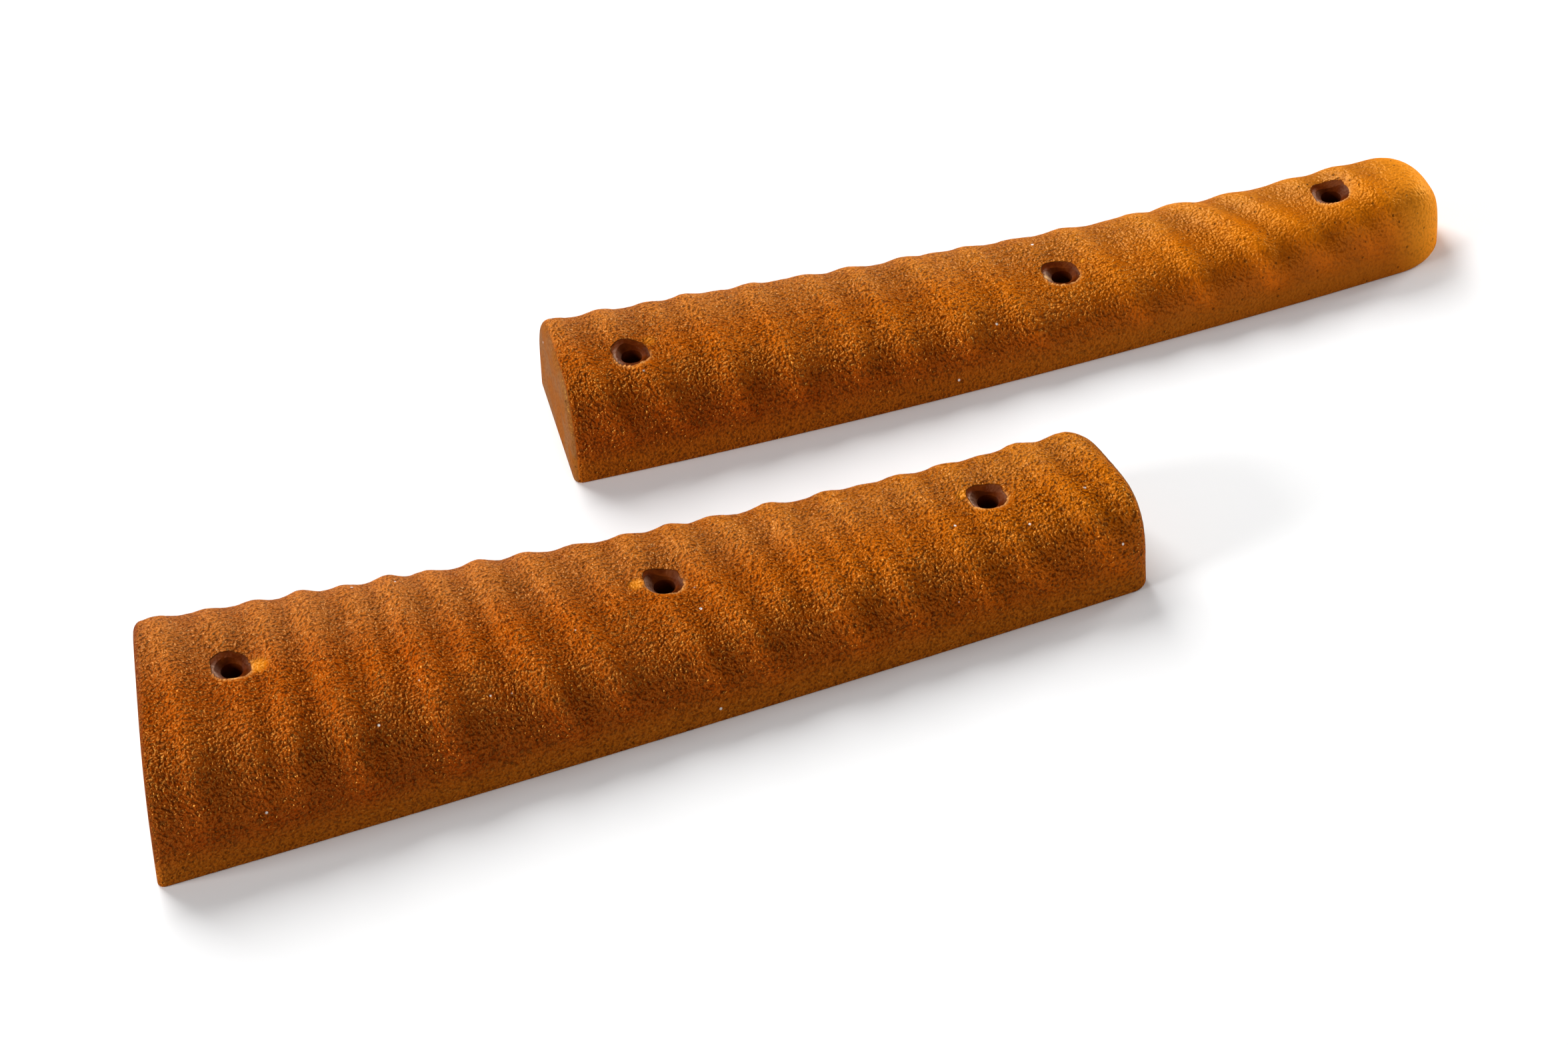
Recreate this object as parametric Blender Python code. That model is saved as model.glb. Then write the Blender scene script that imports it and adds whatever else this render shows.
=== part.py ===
"""Two-part rib hold for a climbing wall, cast in sand-textured resin.

The set is two loose solid castings with flat backs. On a wall they are screwed down end to end, the
narrow end of the wide section against the square end of the tip section. Each is a long D-shaped bar
with three countersunk screw holes through its crown, and with shallow ripples across it like those
that fingers leave in clay. The wide section is cut off at both ends; the tip section ends in a nose.

Metres, +Z up. Both castings lie on their flat backs on Z = 0, side by side and not joined.
+X runs along the wide section from its wide end, +Y points to the tip section, and the origin is the
centre of the set's footprint.
"""

from collections import namedtuple
from math import cos, exp, pi, radians, sin, sqrt, tan

import bmesh
import bpy
from mathutils import Vector

# Wide section. Widths are over the flat back, heights are to the mean level of the ripples.
WIDE_LENGTH = 0.3016
WIDE_WIDTH_LEFT = 0.0868
WIDE_WIDTH_MIDDLE = 0.0726
WIDE_WIDTH_RIGHT = 0.0530
WIDE_HEIGHT_LEFT = 0.0402
WIDE_HEIGHT_FIRST_THIRD = 0.0313
WIDE_HEIGHT_SECOND_THIRD = 0.0278
WIDE_HEIGHT_RIGHT = 0.0326
WIDE_LEFT_END_ANGLE = radians(11.4)
WIDE_RIGHT_END_ANGLE = radians(-6.4)
WIDE_LEFT_ROUNDING = 0.0025
WIDE_RIGHT_CORNER_ROUNDING = 0.0065
WIDE_RIGHT_TOP_ROUNDING = 0.0030
WIDE_LEFT_HOLE_FROM_END = 0.0285
WIDE_MIDDLE_HOLE_SHARE = 0.562
WIDE_RIGHT_HOLE_FROM_END = 0.0403
WIDE_LEFT_HOLE_OFFSET = 0.0011
WIDE_RIGHT_HOLE_OFFSET = -0.0005

# Tip section. Its screw holes lie on a line that runs out from the front side to the nose.
TIP_LENGTH = 0.296
TIP_WIDTH_LEFT = 0.0540
TIP_WIDTH_MIDDLE = 0.0530
TIP_WIDTH_RIGHT = 0.0332
TIP_HEIGHT_LEFT = 0.0333
TIP_HEIGHT_FIRST_THIRD = 0.0252
TIP_HEIGHT_SECOND_THIRD = 0.0219
TIP_HEIGHT_RIGHT = 0.0304
TIP_LEFT_END_ANGLE = radians(4.3)
TIP_LEFT_ROUNDING = 0.0028
TIP_NOSE_LENGTH = 0.0190
TIP_NOSE_HEIGHT = 0.0080
TIP_LEFT_HOLE_FROM_END = 0.0237
TIP_MIDDLE_HOLE_SHARE = 0.604
TIP_RIGHT_HOLE_FROM_END = 0.0364
TIP_LEFT_HOLE_OFFSET = -0.0069
TIP_MIDDLE_HOLE_OFFSET = -0.0044

# Where the tip section lies beside the wide section
CLEAR_GAP = 0.0463
TIP_SET_ALONG = 0.159
TIP_TURN = radians(-1.31)

# Cross-section: a fullness of 2 would be half an ellipse, and a larger one is squarer
SECTION_FULLNESS = 3.3
BACK_EDGE_BREAK = 0.0008

# Screw holes, for 6 mm screws with a 90 degree countersunk head, each in a shallow dimple
SCREW_BORE_DIAMETER = 0.0066
COUNTERSINK_WIDTH = 0.0026
COUNTERSINK_ANGLE = radians(90)
CUTTER_MARGIN = 0.006
DIMPLE_DEPTH = 0.0007
DIMPLE_RADIUS = 0.0065
DIMPLE_SET_BACK = 0.0040

# Ripples. The floor between them lies a little under the mean level, and they fade above the feet.
RIPPLE_FLOOR = 0.0007
RIPPLE_SPREAD = 0.0046
RIPPLE_FADE = 0.12
FOOT_SHARE = 0.85

# crown: where it crosses the crown, as a share of the casting's length
# lean: how far it shifts along the length from the crown to the front foot
# bend: how far both of its feet are swept to the right of that straight line
# height and spread: of its hump
# front and back: the share of the girth, from crown to foot, that it runs down before it fades
Ripple = namedtuple(
    "Ripple", "crown lean bend height front spread back", defaults=(RIPPLE_SPREAD, FOOT_SHARE)
)

WIDE_RIPPLES = (
    Ripple(0.037, 0.007, -0.002, 0.0010, 0.85),
    Ripple(0.094, 0.009, -0.003, 0.0008, 0.85),
    Ripple(0.138, 0.005, -0.005, 0.0011, 0.85),
    Ripple(0.183, 0.007, 0.003, 0.0017, 0.85),
    Ripple(0.232, 0.006, -0.004, 0.0011, 0.35),
    Ripple(0.273, 0.007, 0.003, 0.0018, 0.85),
    Ripple(0.320, 0.006, -0.004, 0.0011, 0.35),
    Ripple(0.367, 0.009, 0.008, 0.0016, 0.85),
    Ripple(0.425, 0.012, 0.004, 0.0013, 0.75),
    Ripple(0.475, 0.008, 0.001, 0.0009, 0.20),
    Ripple(0.516, 0.007, 0.010, 0.0010, 0.85),
    Ripple(0.569, 0.009, 0.008, 0.0014, 0.85),
    Ripple(0.624, 0.007, -0.005, 0.0011, 0.45),
    Ripple(0.671, 0.006, 0.006, 0.0015, 0.85),
    Ripple(0.704, 0.006, 0.000, 0.0010, 0.45, spread=0.0036, back=0.20),
    Ripple(0.735, 0.006, 0.003, 0.0011, 0.80),
    Ripple(0.769, 0.004, 0.002, 0.0006, 0.40),
    Ripple(0.810, 0.006, 0.003, 0.0010, 0.80),
    Ripple(0.856, 0.007, 0.008, 0.0010, 0.80),
    Ripple(0.900, 0.006, 0.000, 0.0006, 0.50),
    Ripple(0.934, 0.007, 0.008, 0.0015, 0.85),
    Ripple(0.981, 0.006, 0.006, 0.0010, 0.85),
)

TIP_RIPPLES = (
    Ripple(0.021, 0.010, 0.008, 0.0009, 0.80),
    Ripple(0.076, 0.012, 0.010, 0.0011, 0.75),
    Ripple(0.131, 0.008, 0.000, 0.0008, 0.30),
    Ripple(0.172, 0.007, 0.000, 0.0013, 0.75),
    Ripple(0.203, 0.005, 0.000, 0.0006, 0.30),
    Ripple(0.238, 0.004, 0.003, 0.0012, 0.75),
    Ripple(0.276, 0.005, 0.000, 0.0005, 0.20),
    Ripple(0.310, 0.007, -0.004, 0.0009, 0.70),
    Ripple(0.358, 0.009, 0.002, 0.0010, 0.70),
    Ripple(0.427, 0.009, -0.004, 0.0011, 0.70),
    Ripple(0.451, 0.005, 0.000, 0.0007, 0.40),
    Ripple(0.489, 0.009, 0.006, 0.0009, 0.75),
    Ripple(0.551, 0.011, 0.000, 0.0005, 0.30),
    Ripple(0.606, 0.011, 0.002, 0.0009, 0.80),
    Ripple(0.655, 0.007, 0.000, 0.0004, 0.40),
    Ripple(0.686, 0.010, 0.000, 0.0010, 0.80),
    Ripple(0.755, 0.020, -0.008, 0.0014, 0.80),
    Ripple(0.806, 0.020, 0.000, 0.0008, 0.80),
    Ripple(0.868, 0.017, 0.000, 0.0007, 0.80),
    Ripple(0.910, 0.013, 0.000, 0.0008, 0.70),
)

# Fineness of the surface
STATION_STEP = 0.0030
GIRTH_STEP = 0.0048
ROUNDING_STEPS = 4
NOSE_STEPS = 9
SECTION_SAMPLES = 400
BORE_SEGMENTS = 32
EDGE_BREAK_STEPS = 2
SHARP_ANGLE = radians(40)
BACK_EDGE_ANGLE = radians(60)
MERGE_DISTANCE = 0.000001

RESIN_COLOUR = (0.42, 0.16, 0.03, 1.0)
RESIN_ROUGHNESS = 0.75


def through(values, share):
    """The smooth curve through evenly spaced values, at a share of the way along them."""
    place = share * (len(values) - 1)
    total = 0.0
    for index, value in enumerate(values):
        weight = 1.0
        for other in range(len(values)):
            if other != index:
                weight *= (place - other) / (index - other)
        total += value * weight
    return total


def smooth_step(value):
    value = min(max(value, 0.0), 1.0)
    return value * value * (3 - 2 * value)


def fade_past(share, reach):
    """1 up to the reach and 0 beyond it, with a soft change between."""
    return smooth_step((reach + RIPPLE_FADE - share) / (2 * RIPPLE_FADE))


def drawn_in(distance, reach, depth):
    """How far a surface is drawn in by a rounded end, at a distance from the end's plane."""
    if distance >= reach:
        return 0.0
    return depth * (1 - sqrt(1 - (1 - distance / reach) ** 2))


class Casting:
    """The shape of one casting in its own frame.

    Its flat back lies on Z = 0, its centre line on the X axis, and its left end at X = 0.
    """

    def __init__(
        self, length, widths, heights, end_angles, left_rounding, right_rounding, nose, holes, ripples
    ):
        self.length = length
        self.widths = widths
        self.heights = heights
        self.end_angles = end_angles
        self.left_rounding = left_rounding
        self.right_reach, self.right_side, self.right_top = right_rounding
        self.nose = nose
        self.holes = holes
        self.ripples = ripples
        self.girth_steps = 2 * round(self.section(length / 2)[1] / 2 / GIRTH_STEP)

    def half_width(self, x):
        return through(self.widths, x / self.length) / 2

    def height(self, x):
        return through(self.heights, x / self.length)

    def shear(self, x):
        """Each end is cut at a small angle, and the sections between turn from one to the other."""
        share = x / self.length
        return (1 - share) * tan(self.end_angles[0]) + share * tan(self.end_angles[1])

    def section(self, x):
        """Fine points of the D section from the back foot over the crown to the front foot, and its girth."""
        from_right = self.length - x
        left = drawn_in(x, self.left_rounding, self.left_rounding)
        half_width = self.half_width(x) - left - drawn_in(from_right, self.right_reach, self.right_side)
        height = self.height(x) - left - drawn_in(from_right, self.right_reach, self.right_top)
        power = 2 / SECTION_FULLNESS
        quarter = [pi / 2 * step / SECTION_SAMPLES for step in range(SECTION_SAMPLES)]
        back = [Vector((x, half_width * cos(a) ** power, height * sin(a) ** power)) for a in quarter]
        front = [Vector((x, -point.y, point.z)) for point in reversed(back)]
        points = back + [Vector((x, 0.0, height))] + front
        girth = sum((b - a).length for a, b in zip(points, points[1:]))
        return points, girth

    def relief(self, x, y, girth_share):
        """Height of the ripples and dimples over the plain section.

        girth_share is -1 at the back foot, 0 at the crown and 1 at the front foot.
        """
        level = -RIPPLE_FLOOR
        for ripple in self.ripples:
            line = ripple.crown * self.length + ripple.lean * girth_share + ripple.bend * girth_share ** 2
            hump = ripple.height * exp(-((x - line) / ripple.spread) ** 2)
            level += hump * fade_past(girth_share, ripple.front) * fade_past(-girth_share, ripple.back)
        level *= fade_past(abs(girth_share), FOOT_SHARE)
        for hole_x, hole_y in self.holes:
            squared = (x - hole_x) ** 2 + (y - hole_y - DIMPLE_SET_BACK) ** 2
            level -= DIMPLE_DEPTH * exp(-squared / DIMPLE_RADIUS ** 2)
        if self.nose:
            level *= smooth_step((self.length - x) / self.right_reach)
        return level

    def ring(self, x):
        """Even points on the rippled surface at one station, from the back foot to the front foot."""
        points, girth = self.section(x)
        step_length = girth / self.girth_steps
        ring = []
        walked = 0.0
        for start, end in zip(points, points[1:]):
            edge = end - start
            while len(ring) < self.girth_steps and walked + edge.length >= len(ring) * step_length:
                point = start + edge * ((len(ring) * step_length - walked) / edge.length)
                if ring:
                    outward = Vector((0.0, edge.z, -edge.y)).normalized()
                    girth_share = 2 * len(ring) / self.girth_steps - 1
                    point += outward * self.relief(x, point.y, girth_share)
                ring.append(point)
            walked += edge.length
        ring.append(points[-1].copy())
        for point in ring:
            point.x += point.y * self.shear(x)
        return ring

    def stations(self):
        """Distances from the left end: close together round the ends and even between them."""
        right_steps = NOSE_STEPS if self.nose else ROUNDING_STEPS
        left_turns = [pi / 2 * i / ROUNDING_STEPS for i in range(ROUNDING_STEPS)]
        right_turns = [pi / 2 * i / right_steps for i in range(right_steps)]
        left = [self.left_rounding * (1 - cos(turn)) for turn in left_turns]
        right = [self.length - self.right_reach * (1 - cos(turn)) for turn in right_turns]
        body = self.length - self.left_rounding - self.right_reach
        count = round(body / STATION_STEP)
        return left + [self.left_rounding + body * i / count for i in range(count + 1)] + right[::-1]

    def build(self, name, material):
        mesh_edit = bmesh.new()
        rings = [[mesh_edit.verts.new(point) for point in self.ring(x)] for x in self.stations()]
        for left, right in zip(rings, rings[1:]):
            for i in range(self.girth_steps):
                mesh_edit.faces.new((left[i], left[i + 1], right[i + 1], right[i]))
        mesh_edit.faces.new([ring[0] for ring in rings] + [ring[-1] for ring in reversed(rings)])
        mesh_edit.faces.new(rings[0])
        if not self.nose:
            mesh_edit.faces.new(rings[-1])
        bmesh.ops.remove_doubles(mesh_edit, verts=mesh_edit.verts, dist=MERGE_DISTANCE)
        bmesh.ops.recalc_face_normals(mesh_edit, faces=mesh_edit.faces)
        casting = object_from(mesh_edit, name)
        casting.data.materials.append(material)
        casting.data.shade_smooth()
        casting.data.set_sharp_from_angle(angle=SHARP_ANGLE)
        edge_break = casting.modifiers.new("back_edge_break", "BEVEL")
        edge_break.width = BACK_EDGE_BREAK
        edge_break.segments = EDGE_BREAK_STEPS
        edge_break.limit_method = "ANGLE"
        edge_break.angle_limit = BACK_EDGE_ANGLE
        for number, hole in enumerate(self.holes, start=1):
            cutter = screw_hole_cutter(f"{name}_screw_hole_{number}", self.surface_height(hole))
            cutter.location = (hole[0], hole[1], 0.0)
            cutter.parent = casting
            cut = casting.modifiers.new(cutter.name, "BOOLEAN")
            cut.object = cutter
            cut.operation = "DIFFERENCE"
            cut.solver = "EXACT"
        return casting

    def surface_height(self, hole):
        """Height of the surface where a screw hole comes through it."""
        x, y = hole
        across = (abs(y) / self.half_width(x)) ** SECTION_FULLNESS
        half_girth = self.section(x)[1] / 2
        return self.height(x) * (1 - across) ** (1 / SECTION_FULLNESS) + self.relief(x, y, -y / half_girth)


def object_from(mesh_edit, name):
    mesh = bpy.data.meshes.new(name)
    mesh_edit.to_mesh(mesh)
    mesh_edit.free()
    made = bpy.data.objects.new(name, mesh)
    bpy.context.scene.collection.objects.link(made)
    return made


def screw_hole_cutter(name, surface):
    """A turned cutter for one screw hole: the bore from below the back, opening into the countersink."""
    bore = SCREW_BORE_DIAMETER / 2
    slope = tan(COUNTERSINK_ANGLE / 2)
    sink_bottom = surface - COUNTERSINK_WIDTH / slope
    top = surface + CUTTER_MARGIN
    top_radius = bore + (top - sink_bottom) * slope
    below = -CUTTER_MARGIN
    profile = ((0.0, below), (bore, below), (bore, sink_bottom), (top_radius, top), (0.0, top))
    mesh_edit = bmesh.new()
    verts = [mesh_edit.verts.new((radius, 0.0, z)) for radius, z in profile]
    edges = [mesh_edit.edges.new(pair) for pair in zip(verts, verts[1:])]
    bmesh.ops.spin(
        mesh_edit,
        geom=verts + edges,
        cent=(0, 0, 0),
        axis=(0, 0, 1),
        angle=2 * pi,
        steps=BORE_SEGMENTS,
        use_merge=True,
    )
    bmesh.ops.remove_doubles(mesh_edit, verts=mesh_edit.verts, dist=MERGE_DISTANCE)
    bmesh.ops.recalc_face_normals(mesh_edit, faces=mesh_edit.faces)
    cutter = object_from(mesh_edit, name)
    cutter.hide_render = True
    cutter.display_type = "WIRE"
    return cutter


def resin():
    material = bpy.data.materials.new("cast_resin")
    material.use_nodes = True
    shader = material.node_tree.nodes["Principled BSDF"]
    shader.inputs["Base Color"].default_value = RESIN_COLOUR
    shader.inputs["Roughness"].default_value = RESIN_ROUGHNESS
    shader.inputs["Metallic"].default_value = 0.0
    return material


def hole_places(length, from_left, middle_share, from_right, offsets):
    """Places of the three screw holes: along the casting, and off its centre line."""
    last = length - from_right
    middle = from_left + middle_share * (last - from_left)
    return list(zip((from_left, middle, last), offsets))


def wide_shape():
    corner = WIDE_RIGHT_CORNER_ROUNDING
    return Casting(
        length=WIDE_LENGTH,
        widths=(WIDE_WIDTH_LEFT, WIDE_WIDTH_MIDDLE, WIDE_WIDTH_RIGHT),
        heights=(WIDE_HEIGHT_LEFT, WIDE_HEIGHT_FIRST_THIRD, WIDE_HEIGHT_SECOND_THIRD, WIDE_HEIGHT_RIGHT),
        end_angles=(WIDE_LEFT_END_ANGLE, WIDE_RIGHT_END_ANGLE),
        left_rounding=WIDE_LEFT_ROUNDING,
        right_rounding=(corner, corner, WIDE_RIGHT_TOP_ROUNDING),
        nose=False,
        holes=hole_places(
            WIDE_LENGTH, WIDE_LEFT_HOLE_FROM_END, WIDE_MIDDLE_HOLE_SHARE, WIDE_RIGHT_HOLE_FROM_END,
            (WIDE_LEFT_HOLE_OFFSET, 0.0, WIDE_RIGHT_HOLE_OFFSET),
        ),
        ripples=WIDE_RIPPLES,
    )


def tip_shape():
    return Casting(
        length=TIP_LENGTH,
        widths=(TIP_WIDTH_LEFT, TIP_WIDTH_MIDDLE, TIP_WIDTH_RIGHT),
        heights=(TIP_HEIGHT_LEFT, TIP_HEIGHT_FIRST_THIRD, TIP_HEIGHT_SECOND_THIRD, TIP_HEIGHT_RIGHT),
        end_angles=(TIP_LEFT_END_ANGLE, 0.0),
        left_rounding=TIP_LEFT_ROUNDING,
        right_rounding=(TIP_NOSE_LENGTH, TIP_WIDTH_RIGHT / 2, TIP_HEIGHT_RIGHT - TIP_NOSE_HEIGHT),
        nose=True,
        holes=hole_places(
            TIP_LENGTH, TIP_LEFT_HOLE_FROM_END, TIP_MIDDLE_HOLE_SHARE, TIP_RIGHT_HOLE_FROM_END,
            (TIP_LEFT_HOLE_OFFSET, TIP_MIDDLE_HOLE_OFFSET, 0.0),
        ),
        ripples=TIP_RIPPLES,
    )


def centre_footprint(castings):
    """Hang the castings from an empty that puts the centre of their footprint at the origin."""
    bpy.context.view_layer.update()
    corners = [casting.matrix_world @ vertex.co for casting in castings for vertex in casting.data.vertices]
    centre = [(min(c[axis] for c in corners) + max(c[axis] for c in corners)) / 2 for axis in range(2)]
    footprint = bpy.data.objects.new("footprint", None)
    bpy.context.scene.collection.objects.link(footprint)
    footprint.location = (-centre[0], -centre[1], 0.0)
    for casting in castings:
        casting.parent = footprint


def main():
    for old in list(bpy.data.objects):
        bpy.data.objects.remove(old, do_unlink=True)
    material = resin()
    wide = wide_shape().build("wide_section", material)
    tip = tip_shape().build("tip_section", material.copy())
    tip.location = (TIP_SET_ALONG, WIDE_WIDTH_MIDDLE / 2 + CLEAR_GAP + TIP_WIDTH_LEFT / 2, 0.0)
    tip.rotation_euler = (0.0, 0.0, TIP_TURN)
    centre_footprint([wide, tip])


main()
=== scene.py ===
"""Looks of the two-part rib hold: the sand-textured skins of both castings, their moulded
screw holes, the resin, the pale floor, the soft studio light and the camera."""

from collections import namedtuple
from math import cos, pi, radians, sin, tan

import bpy
import numpy as np
from mathutils import Matrix, Vector, noise


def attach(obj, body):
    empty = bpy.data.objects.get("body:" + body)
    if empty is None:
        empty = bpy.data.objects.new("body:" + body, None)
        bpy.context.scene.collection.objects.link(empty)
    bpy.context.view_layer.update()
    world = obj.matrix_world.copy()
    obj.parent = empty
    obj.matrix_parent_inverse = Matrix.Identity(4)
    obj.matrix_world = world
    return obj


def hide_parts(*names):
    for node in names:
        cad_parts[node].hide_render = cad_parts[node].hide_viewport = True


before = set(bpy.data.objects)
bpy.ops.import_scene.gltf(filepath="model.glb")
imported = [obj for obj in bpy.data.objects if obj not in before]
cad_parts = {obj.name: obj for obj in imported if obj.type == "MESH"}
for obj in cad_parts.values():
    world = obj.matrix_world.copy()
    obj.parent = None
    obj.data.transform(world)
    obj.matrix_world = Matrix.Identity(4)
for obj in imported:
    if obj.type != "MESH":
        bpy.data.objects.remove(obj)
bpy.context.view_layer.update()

# The set's layout and what both sections share, as the CAD has them
WIDE_ORIGIN = (-0.22334, -0.04664)
TIP_ORIGIN = (-0.06434, 0.06296)
TIP_TURN = radians(-1.31)
SECTION_FULLNESS = 3.3

RIPPLE_FLOOR = 0.0007
RIPPLE_SPREAD = 0.0046
RIPPLE_FADE = 0.12
FOOT_SHARE = 0.85

BORE = 0.0033
COUNTERSINK_WIDTH = 0.0026
DIMPLE_DEPTH = 0.0007
DIMPLE_RADIUS = 0.0065
DIMPLE_SET_BACK = 0.0040

# crown, lean, bend, height, front, spread, back: as in the CAD
WIDE_RIPPLES = [
    (0.037, 0.007, -0.002, 0.0010, 0.85),
    (0.094, 0.009, -0.003, 0.0008, 0.85),
    (0.138, 0.005, -0.005, 0.0011, 0.85),
    (0.183, 0.007, 0.003, 0.0017, 0.85),
    (0.232, 0.006, -0.004, 0.0011, 0.35),
    (0.273, 0.007, 0.003, 0.0018, 0.85),
    (0.320, 0.006, -0.004, 0.0011, 0.35),
    (0.367, 0.009, 0.008, 0.0016, 0.85),
    (0.425, 0.012, 0.004, 0.0013, 0.75),
    (0.475, 0.008, 0.001, 0.0009, 0.20),
    (0.516, 0.007, 0.010, 0.0010, 0.85),
    (0.569, 0.009, 0.008, 0.0014, 0.85),
    (0.624, 0.007, -0.005, 0.0011, 0.45),
    (0.671, 0.006, 0.006, 0.0015, 0.85),
    (0.704, 0.006, 0.000, 0.0010, 0.45, 0.0036, 0.20),
    (0.735, 0.006, 0.003, 0.0011, 0.80),
    (0.769, 0.004, 0.002, 0.0006, 0.40),
    (0.810, 0.006, 0.003, 0.0010, 0.80),
    (0.856, 0.007, 0.008, 0.0010, 0.80),
    (0.900, 0.006, 0.000, 0.0006, 0.50),
    (0.934, 0.007, 0.008, 0.0015, 0.85),
    (0.981, 0.006, 0.006, 0.0010, 0.85),
]
TIP_RIPPLES = [
    (0.021, 0.010, 0.008, 0.0009, 0.80),
    (0.076, 0.012, 0.010, 0.0011, 0.75),
    (0.131, 0.008, 0.000, 0.0008, 0.30),
    (0.172, 0.007, 0.000, 0.0013, 0.75),
    (0.203, 0.005, 0.000, 0.0006, 0.30),
    (0.238, 0.004, 0.003, 0.0012, 0.75),
    (0.276, 0.005, 0.000, 0.0005, 0.20),
    (0.310, 0.007, -0.004, 0.0009, 0.70),
    (0.358, 0.009, 0.002, 0.0010, 0.70),
    (0.427, 0.009, -0.004, 0.0011, 0.70),
    (0.451, 0.005, 0.000, 0.0007, 0.40),
    (0.489, 0.009, 0.006, 0.0009, 0.75),
    (0.551, 0.011, 0.000, 0.0005, 0.30),
    (0.606, 0.011, 0.002, 0.0009, 0.80),
    (0.655, 0.007, 0.000, 0.0004, 0.40),
    (0.686, 0.010, 0.000, 0.0010, 0.80),
    (0.755, 0.020, -0.008, 0.0014, 0.80),
    (0.806, 0.020, 0.000, 0.0008, 0.80),
    (0.868, 0.017, 0.000, 0.0007, 0.80),
    (0.910, 0.013, 0.000, 0.0008, 0.70),
]

# blooms: x, y, size and strength of each yellow spot; chip: x, y and size of a cream one
# worn: y, z and size of the pale patch of painted sheen on the left end face
# lightness: painted light in the resin's colour at the left end, the middle and the right end
Shape = namedtuple(
    "Shape",
    "name body origin turn length widths heights end_angles left_rounding right_rounding nose holes"
    " ripples blooms chip worn lightness",
)
WIDE = Shape(
    name="wide_casting",
    body="wide",
    origin=WIDE_ORIGIN,
    turn=0.0,
    length=0.3016,
    widths=(0.0868, 0.0726, 0.0530),
    heights=(0.0402, 0.0313, 0.0278, 0.0326),
    end_angles=(radians(11.4), radians(-6.4)),
    left_rounding=0.0025,
    right_rounding=(0.0065, 0.0065, 0.0030),
    nose=False,
    holes=((0.0285, 0.0011), (0.15934, 0.0), (0.2613, -0.0005)),
    ripples=WIDE_RIPPLES,
    blooms=(
        (0.0360, -0.0001, 0.0034, 1.0),
        (0.1512, 0.0017, 0.0026, 1.0),
        (0.2549, 0.0039, 0.0022, 0.9),
    ),
    chip=None,
    worn=None,
    lightness=(0.10, 0.18, 0.62),
)
TIP = Shape(
    name="tip_casting",
    body="tip",
    origin=TIP_ORIGIN,
    turn=TIP_TURN,
    length=0.296,
    widths=(0.0540, 0.0530, 0.0332),
    heights=(0.0333, 0.0252, 0.0219, 0.0304),
    end_angles=(radians(4.3), 0.0),
    left_rounding=0.0028,
    right_rounding=(0.0190, 0.0166, 0.0224),
    nose=True,
    holes=((0.0237, -0.0069), (0.16619, -0.0044), (0.2596, 0.0)),
    ripples=TIP_RIPPLES,
    blooms=((0.0310, -0.0012, 0.0032, 0.6), (0.1746, -0.0006, 0.0010, 1.0)),
    chip=(0.1614, -0.0046, 0.0011),
    worn=(0.0073, 0.0117, 0.0048),
    lightness=(0.20, 0.45, 1.0),
)

# Size of the skin's quads, and how far it lies inside the CAD all round, apart from the flat back
SKIN_STEP = 0.00065
SKIN_INSET = 0.00006
SMOOTH_ANGLE = radians(40)

# Rows round both ends: how much closer together they are, and the fewest at each end
END_DENSITY = 1.6
FEWEST_LEFT_ROWS = 4
FEWEST_RIGHT_ROWS = 6

# Points that a section and a girth are measured at, and how far to each side a slope is taken
SECTION_SAMPLES = 1201
GIRTH_SAMPLES = 400
SLOPE_REACH = 0.0004

# Cast-in sand: depth of its pits, and weight, lump size and seed of the noise that shapes them
SAND_DEPTH = 0.00022
SAND_LUMPS = ((0.55, 0.0026, 1), (0.45, 0.0013, 2))
# Height at the left and the right end of the band low on the sides where the sand is weaker
SMOOTH_BAND = (0.012, 0.011)

# Relief below VALLEY_TOP is deepened beyond the CAD's, between these shares of the half girth
VALLEY_GAIN = 0.8
VALLEY_TOP = 0.0006
VALLEY_BEHIND, VALLEY_BEHIND_FADE = 0.40, 0.30
VALLEY_FRONT, VALLEY_FRONT_FADE = 0.80, 0.35

# Closing the skin: distances within which points are one, or count as on an end or on the back
SEAM_MERGE = 0.000002
ON_END = 1e-5
ON_BACK = 1e-6
# Width of the rim that is inset round each end face
END_FACE_INSET = 0.0003

# The break round the flat back, and how near the nose's tip and a hole's axis it may come
BACK_EDGE = 0.0005
NOSE_CLEARANCE = 0.0015
HOLE_CLEARANCE = 2 * BORE

# Screw hole cutter: its foot reaches below the back. Each step above the bore has a rise and a
# widening, and the last one goes past the surface.
CUTTER_SIDES = 96
CUTTER_FOOT = 0.004
SINK_STEPS = ((0.00020, 0.00030), (0.00205, 0.00205), (0.00015, 0.00022), (0.0060, 0.0072))
# About half the girth, near enough to find the ripples under a hole close to the crown line
ROUGH_HALF_GIRTH = 0.05

# Finish round the screw holes, with painted light and shade in it: distances from their axes, and
# widths that it fades over. The hollow's own fade is as wide as its edge lies beyond
# HOLLOW_FADE_FROM. The lip is partly a painted highlight, the sheen is a painted reflection, and
# behind a hole the resin gets BEHIND_DARKENING times a valley's painted shade.
HOLLOW_EDGE = 0.00562
HOLLOW_WIDER_BEHIND = 0.0010
HOLLOW_FADE_FROM = 0.00540
LIP_RADIUS = 0.00585
LIP_WIDTH = 0.00030
CALM_START, CALM_FADE = 0.0062, 0.0016
SHEEN_FULL, SHEEN_END = 0.005, 0.0060
BEHIND_START, BEHIND_FADE = 0.0056, 0.0030
BEHIND_DARKENING = 1.9

# Where the resin's painted light and shade change: how far a valley's painted shade goes up its
# sides, how far back the nose's painted light goes, and the heights between which the low band's
# painted light fades out
VALLEY_COLOUR_RISE = 0.0011
NOSE_COLOUR_REACH, NOSE_COLOUR_FADE = 0.026, 0.018
LOW_BAND_HEIGHTS = (0.003, 0.013)
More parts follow.
